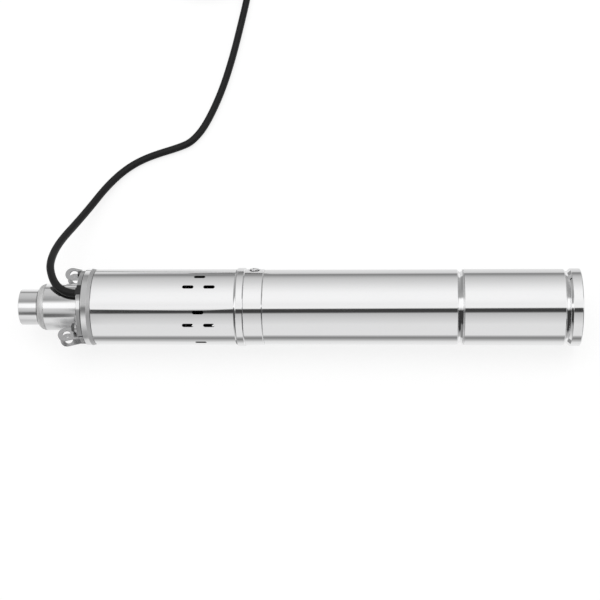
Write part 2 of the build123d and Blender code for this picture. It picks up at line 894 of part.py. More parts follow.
def make_bearing(name, start, width, bore_radius, outer_radius):
    """Write the four pieces of a ball bearing."""
    pitch_radius = bearing_middle(bore_radius, outer_radius)
    places = ball_places(start, width, pitch_radius)
    with BuildPart() as outer_race:
        tube(start, start + width, outer_radius, pitch_radius + race_land)
        ball_groove(start, width, pitch_radius)
    keep(outer_race, f"{name}_outer_race")
    with BuildPart() as inner_race:
        tube(start, start + width, pitch_radius - race_land, bore_radius)
        ball_groove(start, width, pitch_radius)
    keep(inner_race, f"{name}_inner_race")
    with BuildPart() as cage:
        cage_start = start + (width - cage_width) / 2
        cage_outer = pitch_radius + cage_half_height
        tube(cage_start, cage_start + cage_width, cage_outer, pitch_radius - cage_half_height)
        with Locations(*places):
            Sphere(ball_radius + running_fit, mode=Mode.SUBTRACT)
    keep(cage, f"{name}_cage")
    with BuildPart() as balls:
        with Locations(*places):
            Sphere(ball_radius)
    keep(balls, f"{name}_balls")


make_bearing("upper", upper_bearing_start, upper_bearing_width, shaft_radius + fit, upper_bearing_radius)
make_bearing("lower", lower_bearing_start, lower_bearing_width, shaft_end_radius + fit, lower_bearing_radius)

# Rotor core and its end rings
with BuildPart() as rotor_core:
    tube(core_start, core_end, core_bore_radius - air_gap, shaft_core_radius + fit)
keep(rotor_core, "rotor_core")

with BuildPart() as rotor_end_rings:
    tube(core_start - end_ring_length, core_start, end_ring_radius, shaft_core_radius + fit)
    tube(core_end, core_end + end_ring_length, end_ring_radius, shaft_core_radius + fit)
keep(rotor_end_rings, "rotor_end_rings")

# Stator core with its winding slots
stator_slot_depth = core_radius - core_yoke - core_bore_radius - stator_slot_lip
slot_middle = core_bore_radius + stator_slot_lip + stator_slot_depth / 2

with BuildPart() as stator_core:
    with BuildSketch(Plane.YZ.offset(core_start)):
        Circle(core_radius)
        Circle(core_bore_radius, mode=Mode.SUBTRACT)
        with PolarLocations(slot_middle, stator_slot_count):
            Rectangle(stator_slot_depth, stator_slot_width, mode=Mode.SUBTRACT)
        with PolarLocations(core_bore_radius + stator_slot_lip / 2, stator_slot_count):
            Rectangle(2 * stator_slot_lip, stator_slot_mouth, mode=Mode.SUBTRACT)
    extrude(amount=core_end - core_start)
keep(stator_core, "stator_core")

# Windings: a bundle in each slot, joined by the end turns
winding_depth = stator_slot_depth - 2 * hole_clearance
winding_inner = slot_middle - winding_depth / 2
winding_outer = slot_middle + winding_depth / 2

with BuildPart() as stator_windings:
    tube(winding_start, core_start - fit, winding_outer, winding_inner)
    tube(core_end + fit, winding_end, winding_outer, winding_inner)
    with BuildSketch(Plane.YZ.offset(winding_start)):
        with PolarLocations(slot_middle, stator_slot_count):
            Rectangle(winding_depth - loose_clearance, stator_slot_width - 2 * hole_clearance)
    extrude(amount=winding_end - winding_start)
keep(stator_windings, "stator_windings")

# Motor tube, rolled in at its lower end
with BuildPart() as motor_tube:
    tube(motor_start, motor_end, motor_tube_radius, motor_bore)
    fillet(rims(motor_tube, motor_start, motor_tube_radius), motor_tube_edge)
    fillet(rims(motor_tube, motor_end, motor_tube_radius), rolled_edge)
keep(motor_tube, "motor_tube")

# Lower bearing seat: spigots in both tubes, hollow waist and rim between them, hub for the bearing
lower_hub_radius = lower_bearing_radius + fit + bearing_hub_wall
groove_end = lower_bearing_start - fit
groove_start = groove_end - retaining_ring_width - fit
hub_start = groove_start - retaining_ring_width
lower_pocket_end = shaft_end + loose_clearance
lower_seat_end = lower_start + lower_spigot_length

with BuildPart() as lower_bearing_seat:
    turned(
        (hub_start, lower_bearing_radius + fit),
        (hub_start, lower_hub_radius),
        (motor_end, lower_hub_radius),
        (motor_end, motor_bore - seat_rim_wall),
        (hub_start, motor_bore - seat_rim_wall),
        (hub_start, motor_bore - fit),
        (motor_end, motor_bore - fit),
        (motor_end, waist_radius),
        ((motor_end + rim_start) / 2, waist_radius - waist_hollow),
        (rim_start, waist_radius),
        (rim_start, waist_rim_radius),
        (lower_start, waist_rim_radius),
        (lower_start, lower_bore - fit),
        (lower_seat_end, lower_bore - fit),
        (lower_seat_end, shaft_shoulder_radius),
        (lower_pocket_end, shaft_shoulder_radius),
        (lower_pocket_end, lower_bearing_radius + fit),
    )
    fillet(rims(lower_bearing_seat, rim_start, waist_rim_radius), waist_rim_edge)
    fillet(rims(lower_bearing_seat, lower_start, waist_rim_radius), waist_rim_edge)
    tube(
        groove_start,
        groove_end,
        lower_bearing_radius + retaining_ring_bite + fit,
        lower_bearing_radius,
        mode=Mode.SUBTRACT,
    )
keep(lower_bearing_seat, "lower_bearing_seat")

# Retaining ring in front of the lower bearing, with its gap
retaining_outer = lower_bearing_radius + retaining_ring_bite

with BuildPart() as retaining_ring:
    ring_station = groove_end - retaining_ring_width
    tube(ring_station, groove_end, retaining_outer, retaining_outer - retaining_ring_wall)
    with BuildSketch(Plane.YZ.offset(ring_station)):
        with Locations((0, retaining_outer)):
            Rectangle(2 * retaining_ring_wall, 3 * retaining_ring_wall)
    extrude(amount=retaining_ring_width, mode=Mode.SUBTRACT)
keep(retaining_ring, "retaining_ring")

# Lower tube, rolled in at its far end
with BuildPart() as lower_tube:
    tube(lower_start, lower_end, lower_tube_radius, lower_bore)
    fillet(rims(lower_tube, lower_start, lower_tube_radius), lower_tube_edge)
    fillet(rims(lower_tube, lower_end, lower_tube_radius), rolled_edge)
keep(lower_tube, "lower_tube")

# Capacitor in its clamp on the lower bearing seat
clamp_end = lower_seat_end + clamp_base_thickness

with BuildPart() as capacitor_clamp:
    tube(lower_seat_end, clamp_end, lower_bore - clamp_base_gap)
    tube(clamp_end, clamp_end + clamp_length, capacitor_radius + fit + clamp_wall, capacitor_radius + fit)
keep(capacitor_clamp, "capacitor_clamp")

with BuildPart() as capacitor:
    tube(clamp_end, clamp_end + capacitor_length, capacitor_radius)
    fillet(rims(capacitor, clamp_end + capacitor_length, capacitor_radius), capacitor_crown)
keep(capacitor, "capacitor")

# End cap: spigot with an O-ring groove, sloped groove outside, bead and end wall
spigot_start = lower_end - cap_spigot_length
groove_middle = spigot_start + oring_station
groove_floor = lower_bore - 2 * oring_radius - fit

with BuildPart() as end_cap:
    turned(
        (bead_start, cap_radius),
        (cap_end, cap_radius),
        (cap_end, 0),
        (cap_end - cap_wall, 0),
        (cap_end - cap_wall, lower_bore - bearing_web),
        (spigot_start, lower_bore - bearing_web),
        (spigot_start, lower_bore - fit),
        (lower_end, lower_bore - fit),
        (lower_end, cap_waist_radius),
        (cap_groove_middle, cap_waist_radius - cap_groove_depth),
    )
    fillet(rims(end_cap, bead_start, cap_radius), cap_bead_edge)
    fillet(rims(end_cap, cap_end, cap_radius), cap_edge)
    tube(
        groove_middle - oring_radius - fit,
        groove_middle + oring_radius + fit,
        lower_bore,
        groove_floor,
        mode=Mode.SUBTRACT,
    )
keep(end_cap, "end_cap")

with BuildPart() as cap_oring:
    with BuildSketch(Plane.XZ):
        with Locations((groove_middle, groove_floor + oring_radius)):
            Circle(oring_radius)
    revolve(axis=Axis.X)
keep(cap_oring, "cap_oring")


# Supply cable: straight runs joined by tangent arcs


def bend_radii(points):
    """The radius at each corner of a cable's route, as large as its two runs allow."""
    radii = []
    for before, corner, after in zip(points, points[1:], points[2:]):
        run_in = Vector(*corner) - Vector(*before)
        run_out = Vector(*after) - Vector(*corner)
        half_turn = math.radians(run_in.get_angle(run_out) / 2)
        radii.append(bend_share * min(run_in.length, run_out.length) / math.tan(half_turn))
    return radii


def make_cable(name, points):
    """Write one free stretch of the cable and print its bends and its volume."""
    radii = bend_radii(points)
    with BuildPart() as cable:
        with BuildLine() as route:
            FilletPolyline(*points, radius=radii)
        with BuildSketch(Plane(origin=route.line @ 0, z_dir=route.line % 0)):
            Circle(cable_radius)
        sweep(path=route.line)
    keep(cable, name)
    length = route.wire().length
    print(name, "bend radii", [round(radius, 1) for radius in radii])
    print(name, "length", round(length, 1))
    print(name, "volume", round(cable.part.volume, 1))
    print(name, "section times length", round(math.pi * cable_radius**2 * length, 1))
    return route.line


make_cable("supply_cable", cord_points)
tail_line = make_cable("supply_cable_tail", tail_points)

# Coil of the length that is not run out: two layers of turns, a lead in and a lead out
layer_height = 2 * cable_radius
coil_x = cord_points[-1][0] - coil_radius
coil_y = cord_points[-1][1] + coil_lead
lead_in = (coil_x + coil_radius, coil_y - coil_lead, floor_height + cable_radius)
lead_out = (coil_x - coil_lead, coil_y + coil_radius, floor_height + cable_radius + layer_height)

with BuildPart() as supply_cable_coil:
    with BuildSketch(Plane.XY.offset(floor_height)):
        with Locations((coil_x, coil_y)):
            Circle(coil_radius + cable_radius)
            Circle(coil_inner_radius, mode=Mode.SUBTRACT)
    extrude(amount=2 * layer_height)
    fillet(supply_cable_coil.edges().filter_by(GeomType.CIRCLE), coil_edge)
    with BuildSketch(Plane(origin=lead_in, z_dir=(0, 1, 0))):
        Circle(cable_radius)
    extrude(amount=coil_lead)
    with BuildSketch(Plane(origin=lead_out, z_dir=(1, 0, 0))):
        Circle(cable_radius)
    extrude(amount=coil_lead)
keep(supply_cable_coil, "supply_cable_coil")

# Three bare cores at the cable's far end
tail_end = tail_line @ 1
tail_heading = tail_line % 1
tail_plane = Plane(origin=tail_end, x_dir=tail_heading.cross(Vector(0, 0, 1)), z_dir=tail_heading)

for core_number, core_name in enumerate(("core_live", "core_neutral", "core_earth")):
    core_turn = 2 * math.pi * core_number / wire_core_count
    core_place = (wire_core_offset * math.cos(core_turn), wire_core_offset * math.sin(core_turn))
    with BuildPart() as wire_core:
        with BuildSketch(tail_plane):
            with Locations(core_place):
                Circle(wire_core_radius)
        extrude(amount=wire_core_length)
    keep(wire_core, core_name)
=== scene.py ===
"""Dresses the borehole pump model and sets up its studio."""

import math

import bpy
from bpy.props import FloatProperty, FloatVectorProperty, PointerProperty
from mathutils import Matrix, Vector


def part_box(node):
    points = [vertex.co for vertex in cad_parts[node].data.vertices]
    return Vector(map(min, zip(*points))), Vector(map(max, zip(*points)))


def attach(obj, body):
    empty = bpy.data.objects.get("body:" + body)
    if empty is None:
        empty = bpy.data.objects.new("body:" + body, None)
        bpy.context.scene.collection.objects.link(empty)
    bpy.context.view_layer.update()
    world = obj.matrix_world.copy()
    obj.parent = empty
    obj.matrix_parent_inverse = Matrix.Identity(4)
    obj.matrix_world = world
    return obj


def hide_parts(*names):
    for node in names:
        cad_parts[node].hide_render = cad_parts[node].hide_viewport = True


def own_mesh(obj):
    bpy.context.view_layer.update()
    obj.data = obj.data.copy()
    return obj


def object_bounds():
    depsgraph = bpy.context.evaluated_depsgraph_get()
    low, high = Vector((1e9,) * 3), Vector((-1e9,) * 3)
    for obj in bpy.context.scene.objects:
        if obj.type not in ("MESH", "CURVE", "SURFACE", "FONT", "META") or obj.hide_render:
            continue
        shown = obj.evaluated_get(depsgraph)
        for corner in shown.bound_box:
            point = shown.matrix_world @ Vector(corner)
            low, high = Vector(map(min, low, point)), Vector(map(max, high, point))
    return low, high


bl_info = {
    "name": "Borehole Pump",
    "version": (1, 0, 0),
    "blender": (4, 5, 0),
    "location": "View3D > Sidebar > Borehole Pump",
    "description": "Finishes, supply cable and studio of a slim borehole pump",
    "category": "Object",
}

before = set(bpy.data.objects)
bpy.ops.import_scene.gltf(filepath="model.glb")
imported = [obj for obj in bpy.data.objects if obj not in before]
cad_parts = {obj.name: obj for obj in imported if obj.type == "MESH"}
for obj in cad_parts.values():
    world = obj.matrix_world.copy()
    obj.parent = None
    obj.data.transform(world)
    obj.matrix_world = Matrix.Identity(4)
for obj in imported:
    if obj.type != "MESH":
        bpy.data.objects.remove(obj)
CAD_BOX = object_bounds()


# Shader building

class Value:
    """One output of a shader node, on which arithmetic adds Math nodes."""

    def __init__(self, graph, socket):
        self.graph = graph
        self.socket = socket

    def __add__(self, other):
        return self.graph.maths("ADD", self, other)

    def __radd__(self, other):
        return self.graph.maths("ADD", other, self)

    def __sub__(self, other):
        return self.graph.maths("SUBTRACT", self, other)

    def __rsub__(self, other):
        return self.graph.maths("SUBTRACT", other, self)

    def __mul__(self, other):
        return self.graph.maths("MULTIPLY", self, other)

    def __rmul__(self, other):
        return self.graph.maths("MULTIPLY", other, self)

    def __truediv__(self, other):
        return self.graph.maths("DIVIDE", self, other)


class Graph:
    """The node tree of one material or of the world, built up from empty."""

    def __init__(self, owner):
        owner.use_nodes = True
        self.tree = owner.node_tree
        self.tree.nodes.clear()

    def node(self, kind, settings=None, sockets=None, output=0):
        """Adds a node of one kind, sets its settings and then its sockets, and gives one of its outputs."""
        made = self.tree.nodes.new(kind)
        for name, setting in (settings or {}).items():
            if name == "stops":
                self.place_stops(made.color_ramp, setting)
            else:
                setattr(made, name, setting)
        for name, given in (sockets or {}).items():
            if isinstance(given, Value):
                self.tree.links.new(given.socket, made.inputs[name])
            else:
                made.inputs[name].default_value = given
        return Value(self, made.outputs[output]) if made.outputs else None

    def place_stops(self, ramp, stops):
        """Gives a ramp its grey or coloured stops, each a place from 0 to 1 and a colour."""
        elements = ramp.elements
        while len(elements) < len(stops):
            elements.new(1.0)
        for element, (place, colour) in zip(elements, stops):
            element.position = place
            element.color = opaque(colour)

    def maths(self, operation, first, second=0.0):
        """A Math node, which takes values and numbers."""
        return self.node("ShaderNodeMath", {"operation": operation}, {0: first, 1: second})

    def where(self):
        """The point on the object, in metres."""
        return self.node("ShaderNodeTexCoord", output="Object")

    def parts(self, vector):
        """The x, y and z of a vector."""
        split = self.node("ShaderNodeSeparateXYZ", sockets={0: vector})
        outputs = split.socket.node.outputs
        return [Value(self, outputs[axis]) for axis in range(3)]

    def joined(self, x, y, z):
        """A vector of three values."""
        return self.node("ShaderNodeCombineXYZ", sockets={0: x, 1: y, 2: z})

    def stretched(self, vector, scale):
        """A vector with each of its parts multiplied by its own number."""
        return self.node("ShaderNodeVectorMath", {"operation": "MULTIPLY"}, {0: vector, 1: scale})

    def noise(self, vector, scale, detail=3.0, rough=0.5):
        """A smooth random value from 0 to 1, with its middle near a half."""
        return self.node(
            "ShaderNodeTexNoise", {"noise_dimensions": "3D"},
            {"Vector": vector, "Scale": scale, "Detail": detail, "Roughness": rough},
        )

    def between(self, amount, low, high, start=0.0, stop=1.0):
        """Goes from start to stop while amount goes from low to high, and stays there outside them."""
        return self.node(
            "ShaderNodeMapRange", {"clamp": True},
            {"Value": amount, "From Min": low, "From Max": high, "To Min": start, "To Max": stop},
        )

    def spread(self, noise, start=0.0, stop=1.0):
        """A noise stretched so that it reaches both start and stop."""
        return self.between(noise, 0.3, 0.7, start, stop)

    def tint(self, amount, first, second):
        """A colour between two colours."""
        return self.node(
            "ShaderNodeMix", {"data_type": "RGBA"},
            {0: amount, 6: colour_of(first), 7: colour_of(second)}, output=2,
        )

    def blend(self, amount, first, second):
        """A number that goes from first to second while amount goes from 0 to 1."""
        return first + (second - first) * amount

    def bumped(self, height, depth, under=None):
        """A normal from a height, of which 1 stands for depth in metres, on top of another normal."""
        sockets = {"Strength": 1.0, "Distance": depth, "Height": height}
        if under is not None:
            sockets["Normal"] = under
        return self.node("ShaderNodeBump", sockets=sockets)

    def finish(self, surface, output="ShaderNodeOutputMaterial"):
        """Ends the tree with a shader."""
        self.node(output, sockets={"Surface": surface})


def opaque(colour):
    """A colour of three numbers, or one grey number, with an alpha of 1."""
    if isinstance(colour, (int, float)):
        colour = (colour, colour, colour)
    return (*colour[:3], 1.0)


def colour_of(colour):
    """A colour that a socket takes: a link as it is, numbers with an alpha of 1."""
    return colour if isinstance(colour, Value) else opaque(colour)


def shade(colour, factor):
    """A darker or lighter colour."""
    return tuple(min(1.0, part * factor) for part in colour[:3])


def new_material(name):
    """A material with an empty graph."""
    material = bpy.data.materials.new(name)
    return material, Graph(material)


def principled(graph, **sockets):
    """The surface shader, with its sockets named by words joined with underscores."""
    return graph.node(
        "ShaderNodeBsdfPrincipled", sockets={name.replace("_", " "): given for name, given in sockets.items()}
    )


def radius_of(graph, y, z):
    """The distance from the pump's axis."""
    return graph.maths("SQRT", y * y + z * z)


def tapered(graph, x, start, slope, under):
    """The normal of a rim that widens from a place on the axis by this slope."""
    return graph.bumped(graph.maths("MAXIMUM", x - start) * slope, 1.0, under)


def dress(nodes, material):
    """Puts one material on each slot of the named CAD nodes."""
    for name in nodes:
        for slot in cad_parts[name].material_slots:
            slot.material = material


# Finishes

TENTH_MM = 0.0001

# Where the finish of the casing changes, in metres from the outlet's mouth.
NECK_END = 0.0192
SHOULDER_FADE = 0.0255
SHOULDER_END = 0.0275
PATCH_START = (0.034, 0.05)
FLANGE_FRONT = 0.0632
RING_BEVEL = 0.0738
TUBE_LIP = 0.0815
WAIST_MIDDLE = 0.4432
CAP_GROOVE_MIDDLE = 0.5479

# The pipe thread in the mouth.
THREAD_RADIUS = 0.0122
THREAD_LENGTH = 0.0168
THREAD_PITCH = 0.001814
THREAD_DEPTH = 0.0011

# How steep the rims are shaded, and how much shallower the walls of the grooves.
FLANGE_TAPER = 0.12
RING_TAPER = 0.05
WAIST_HALF = 0.0022
WAIST_EASING = 0.34
CAP_GROOVE_FALL = 0.0025
CAP_GROOVE_EASING = 0.3

# The inside of the pump tube, and what the bell mirrors beside the lower ears.
TUBE_SKIN = 0.03765
PATCH_SIDE = (-0.0187, -0.0203)

# What is duller than the polish, and the colours painted darker or lighter as shade, highlight and dark
# reflection.
SLOT_PAINTED_SHADE = 0.012
SLOT_ROUGHNESS = 0.6
BEVEL_PAINTED_SHADE = 0.66
BEVEL_DULL = 0.4
CORNER_PAINTED_SHADE = 0.3
SHOULDER_PAINTED_HIGHLIGHT = 1.0
SHOULDER_DULL = 0.55
PATCH_DULL = 0.4
FLANGE_DULL = 0.01
MOUTH_DULL = 0.12
SCREW_PAINTED_REFLECTION = 0.2
SCREW_ROUGHNESS = 0.16

# Marks and smears to the metre, along the axis and across it.
MARKS = (5200.0, 60.0, 60.0)
MARK_DEPTH = 0.0000004
SMEARS = (14.0, 40.0, 40.0)


def polish(graph, place, colour, roughness):
    """The sockets of polished stainless: very fine marks round the tube, and faint smears."""
    marks = graph.noise(graph.stretched(place, MARKS), scale=1.0, detail=2.0)
    smears = graph.noise(graph.stretched(place, SMEARS), scale=1.0, detail=4.0, rough=0.6)
    sheen = graph.between(smears, 0.35, 0.75)
    return {
        "Base_Color": graph.tint(sheen, shade(colour, 0.985), colour),
        "Metallic": 1.0,
        "Roughness": roughness + 0.018 * marks + 0.03 * sheen,
        "Normal": graph.bumped(marks, MARK_DEPTH),
    }


def mirror_steel(name, colour, roughness):
    """Polished stainless."""
    material, graph = new_material(name)
    graph.finish(principled(graph, **polish(graph, graph.where(), colour, roughness)))
    return material


def slotted_steel(name, colour, roughness):
    """The pump tube: polished outside; inside and on the walls of its slots its colour is painted near black
    as shade.
    """
    material, graph = new_material(name)
    place = graph.where()
    x, y, z = graph.parts(place)
    inside = graph.between(radius_of(graph, y, z), TUBE_SKIN, TUBE_SKIN + 2 * TENTH_MM, 1.0, 0.0)
    inside = inside * graph.between(x, TUBE_LIP, TUBE_LIP + 5 * TENTH_MM)
    sockets = polish(graph, place, colour, roughness)
    # Painted shade: the inside of the tube and the walls of its slots are coloured near black.
    sockets["Base_Color"] = graph.tint(inside, sockets["Base_Color"], SLOT_PAINTED_SHADE)
    sockets["Roughness"] = graph.blend(inside, sockets["Roughness"], SLOT_ROUGHNESS)
    graph.finish(principled(graph, **sockets))
    return material


def ring_steel(name, colour, roughness):
    """The head ring: a polished, slightly tapered rim and a dull bevel behind it, whose colour is darkened as
    painted shade.
    """
    material, graph = new_material(name)
    place = graph.where()
    x, y, z = graph.parts(place)
    bevel = graph.between(x, RING_BEVEL - TENTH_MM, RING_BEVEL + TENTH_MM)
    sockets = polish(graph, place, colour, roughness)
    rim = graph.maths("MINIMUM", x, RING_BEVEL)
    sockets["Normal"] = tapered(graph, rim, 0.0, RING_TAPER, sockets["Normal"])
    # Painted shade: the bevel's colour is darkened.
    sockets["Base_Color"] = graph.tint(bevel, sockets["Base_Color"], shade(colour, BEVEL_PAINTED_SHADE))
    sockets["Roughness"] = sockets["Roughness"] + BEVEL_DULL * bevel
    graph.finish(principled(graph, **sockets))
    return material


def head_steel(name, colour, roughness):
    """The discharge head: polished neck and bell, a dull shoulder lightened as a painted highlight, a
    painted-shade line in the corner at the neck's end, a dull mouth and a thread in the mouth.
    """
    material, graph = new_material(name)
    place = graph.where()
    x, y, z = graph.parts(place)
    shoulder = graph.between(x, NECK_END, NECK_END + 4 * TENTH_MM)
    shoulder = shoulder * graph.between(x, SHOULDER_FADE, SHOULDER_END, 1.0, 0.0)
    # Painted shade: a thin darker line in the corner where the neck meets the shoulder.
    corner = graph.maths("ABSOLUTE", x - NECK_END)
    corner = graph.between(corner, 4 * TENTH_MM, 10 * TENTH_MM, 1.0, 0.0)
    flange = graph.between(x, FLANGE_FRONT - 4 * TENTH_MM, FLANGE_FRONT - TENTH_MM)
    patch = graph.between(x, *PATCH_START) * graph.between(y, *PATCH_SIDE) * (1 - flange)
    mouth = radius_of(graph, y, z)
    mouth = graph.between(mouth, THREAD_RADIUS, THREAD_RADIUS + 4 * TENTH_MM, 1.0, 0.0)
    mouth = mouth * graph.between(x, THREAD_LENGTH, THREAD_LENGTH + 3 * TENTH_MM, 1.0, 0.0)
    turns = x / THREAD_PITCH - graph.maths("ARCTAN2", y, z) / (2 * math.pi)
    thread = graph.maths("PINGPONG", turns, 0.5) * 2.0 * mouth
    sockets = polish(graph, place, colour, roughness)
    sockets["Normal"] = graph.bumped(thread, THREAD_DEPTH, sockets["Normal"])
    sockets["Normal"] = tapered(graph, x, FLANGE_FRONT, FLANGE_TAPER, sockets["Normal"])
    # Painted highlight: the shoulder's colour is raised to white.
    sockets["Base_Color"] = graph.tint(shoulder, sockets["Base_Color"], SHOULDER_PAINTED_HIGHLIGHT)
    sockets["Base_Color"] = graph.tint(corner, sockets["Base_Color"], shade(colour, CORNER_PAINTED_SHADE))
    sockets["Roughness"] = sockets["Roughness"] + SHOULDER_DULL * shoulder + PATCH_DULL * patch
    sockets["Roughness"] = sockets["Roughness"] + FLANGE_DULL * flange + MOUTH_DULL * mouth
    graph.finish(principled(graph, **sockets))
    return material


def grooved_steel(name, colour, roughness, middle, fall, rise, easing):
    """Polished, with a groove whose sloping walls are shaded as shallower than they are."""
    material, graph = new_material(name)
    place = graph.where()
    x, y, z = graph.parts(place)
    sockets = polish(graph, place, colour, roughness)
    before = graph.maths("MINIMUM", graph.maths("MAXIMUM", middle - x), fall)
    after = graph.maths("MINIMUM", graph.maths("MAXIMUM", x - middle), rise)
    sockets["Normal"] = graph.bumped((before + after) * -easing, 1.0, sockets["Normal"])
    graph.finish(principled(graph, **sockets))
    return material


def turned_steel(name, colour, roughness, pitch=0.00035):
    """Turned or ground metal with rings round the pump's axis."""
    material, graph = new_material(name)
    place = graph.where()
    rings = graph.noise(graph.stretched(place, (1.0 / pitch, 25.0, 25.0)), scale=1.0)
    stains = graph.noise(place, scale=70.0, detail=4.0, rough=0.6)
    surface = principled(
        graph,
        Base_Color=graph.tint(graph.spread(stains), shade(colour, 0.9), colour),
        Metallic=1.0,
        Roughness=graph.between(rings, 0.25, 0.75, roughness * 0.75, roughness * 1.3),
        Normal=graph.bumped(rings, 0.000004),
    )
    graph.finish(surface)
    return material


def plain_metal(name, colour, roughness, grain=900.0, depth=0.000006):
    """Pressed, blasted or cast metal with an even fine grain."""
    material, graph = new_material(name)
    place = graph.where()
    specks = graph.noise(place, grain, detail=4.0, rough=0.6)
    clouds = graph.noise(place, scale=45.0)
    surface = principled(
        graph,
        Base_Color=graph.tint(graph.spread(clouds), shade(colour, 0.9), colour),
        Metallic=1.0,
        Roughness=graph.spread(specks, roughness * 0.8, roughness * 1.2),
        Normal=graph.bumped(specks, depth),
    )
    graph.finish(surface)
    return material


def laminations(name, colour):
    """A stack of core sheets, one to the millimetre, with varnish between them."""
    material, graph = new_material(name)
    place = graph.where()
    x, y, z = graph.parts(place)
    sheets = graph.node("ShaderNodeTexWave", {"wave_type": "BANDS", "bands_direction": "X"},
                        {"Vector": graph.joined(x, 0.0, 0.0), "Scale": 320.0, "Distortion": 0.0})
    mottle = graph.noise(place, scale=120.0, detail=4.0, rough=0.6)
    surface = principled(
        graph,
        Base_Color=graph.tint(sheets * (0.6 + 0.4 * mottle), shade(colour, 0.35), colour),
        Metallic=0.9,
        Roughness=graph.spread(mottle, 0.38, 0.55),
        Normal=graph.bumped(sheets, 0.00003),
    )
    graph.finish(surface)
    return material


def rubber(name, colour, roughness, grain=1400.0, depth=0.000012, gloss=0.5):
    """Moulded or extruded rubber: fine grain with dull and less dull patches."""
    material, graph = new_material(name)
    place = graph.where()
    specks = graph.noise(place, grain, rough=0.55)
    patches = graph.noise(place, scale=38.0, detail=4.0, rough=0.6)
    surface = principled(
        graph,
        Base_Color=graph.tint(patches, shade(colour, 0.8), shade(colour, 1.3)),
        Roughness=graph.spread(patches, roughness * 0.88, min(1.0, roughness * 1.12)),
        Specular_IOR_Level=gloss,
        Normal=graph.bumped(specks, depth),
    )
    graph.finish(surface)
    return material


def enamelled_wire(name, colour):
    """Wound copper wire under varnish, its turns running along the slots."""
    material, graph = new_material(name)
    place = graph.where()
    x, y, z = graph.parts(place)
    strands = graph.noise(graph.joined(x * 40.0, y * 1700.0, z * 1700.0), scale=1.0, detail=2.0, rough=0.6)
    varnish = graph.noise(place, scale=90.0)
    surface = principled(
        graph,
        Base_Color=graph.tint(strands, shade(colour, 0.35), shade(colour, 1.25)),
        Metallic=0.65,
        Roughness=graph.spread(varnish, 0.28, 0.45),
        Normal=graph.bumped(strands, 0.00012),
    )
    graph.finish(surface)
    return material


def ceramic(name, colour, roughness):
    """Lapped ceramic or carbon, with the last trace of the lapping marks."""
    material, graph = new_material(name)
    place = graph.where()
    pores = graph.noise(place, scale=2600.0, detail=2.0)
    clouds = graph.noise(place, scale=110.0)
    surface = principled(
        graph,
        Base_Color=graph.tint(clouds, shade(colour, 0.9), shade(colour, 1.06)),
        Roughness=graph.spread(pores, roughness * 0.85, roughness * 1.2),
        Normal=graph.bumped(pores, 0.000003),
    )
    graph.finish(surface)
    return material


# Supply cable

CABLE_ROUTE = (
    (0.067, 0.0, 0.0295), (0.057, 0.0, 0.0295), (0.0479, 0.0034, 0.0293), (0.0403, 0.0096, 0.0285),
    (0.0347, 0.0188, 0.0269), (0.0301, 0.0321, 0.0242), (0.0289, 0.0431, 0.0199), (0.029, 0.0552, 0.014),
    (0.0303, 0.0683, 0.0068), (0.0338, 0.0844, -0.0022), (0.0409, 0.1059, -0.0137), (0.0513, 0.1337, -0.0252),
    (0.0651, 0.1648, -0.0327), (0.0835, 0.1888, -0.0354), (0.1063, 0.204, -0.0354), (0.1439, 0.2174, -0.0354),
    (0.1555, 0.2253, -0.0354), (0.1684, 0.2458, -0.0354), (0.183, 0.2898, -0.0354), (0.1928, 0.3374, -0.0354),
    (0.1995, 0.382, -0.0354), (0.2056, 0.4263, -0.0354), (0.207, 0.45, -0.0354),
)
CABLE_END = (
    (0.125, 0.5316, -0.0274), (0.109, 0.5316, -0.0274), (0.09, 0.5298, -0.0296), (0.071, 0.5246, -0.0334),
    (0.053, 0.516, -0.0354), (0.038, 0.506, -0.0354),
)
COIL_CENTRE = (0.155, 0.4792)
COIL_RADIUS = 0.052
LOW_LAYER = -0.0354
TURN_POINTS = 16
LAYER_TURNS = 2.5
CLIMB_TURNS = 0.25
CABLE_STEPS = 10
CABLE_ROUND_STEPS = 8


def coil_points(diameter):
    """The put-away length: a flat coil inwards on the floor, and back outwards on top of it."""
    cut_in = math.cos(math.pi / TURN_POINTS)
    total = 2 * LAYER_TURNS + CLIMB_TURNS
    points = []
    for step in range(round(total * TURN_POINTS) + 1):
        turn = step / TURN_POINTS
        inward = min(turn, LAYER_TURNS)
        climb = min(max((turn - LAYER_TURNS) / CLIMB_TURNS, 0.0), 1.0)
        outward = max(turn - LAYER_TURNS - CLIMB_TURNS, 0.0)
        radius = (COIL_RADIUS - diameter * (inward - outward)) / cut_in
        angle = 2 * math.pi * turn
        points.append((
            COIL_CENTRE[0] + radius * math.cos(angle),
            COIL_CENTRE[1] + radius * math.sin(angle),
            LOW_LAYER + diameter * climb,
        ))
    return points


def make_cable(settings):
    """One smooth spline with a round section, from the head to the bare end."""
    curve = bpy.data.curves.new("supply_cable_line", "CURVE")
    curve.dimensions = "3D"
    curve.resolution_u = CABLE_STEPS
    curve.bevel_depth = settings.diameter / 2
    curve.bevel_resolution = CABLE_ROUND_STEPS
    curve.use_fill_caps = True
    points = [*CABLE_ROUTE, *coil_points(settings.diameter), *CABLE_END]
    spline = curve.splines.new("NURBS")
    spline.points.add(len(points) - 1)
    for knot, place in zip(spline.points, points):
        knot.co = (*place, 1.0)
    spline.order_u = 3
    spline.use_endpoint_u = True
    cable = bpy.data.objects.new("cable_run", curve)
    bpy.context.scene.collection.objects.link(cable)
    return cable


# Valve spring

SPRING_RADIUS = 0.008
SPRING_WIRE = 0.0012
SPRING_TURNS = 4.5
SPRING_TURN_POINTS = 32
SPRING_ROUND_POINTS = 12


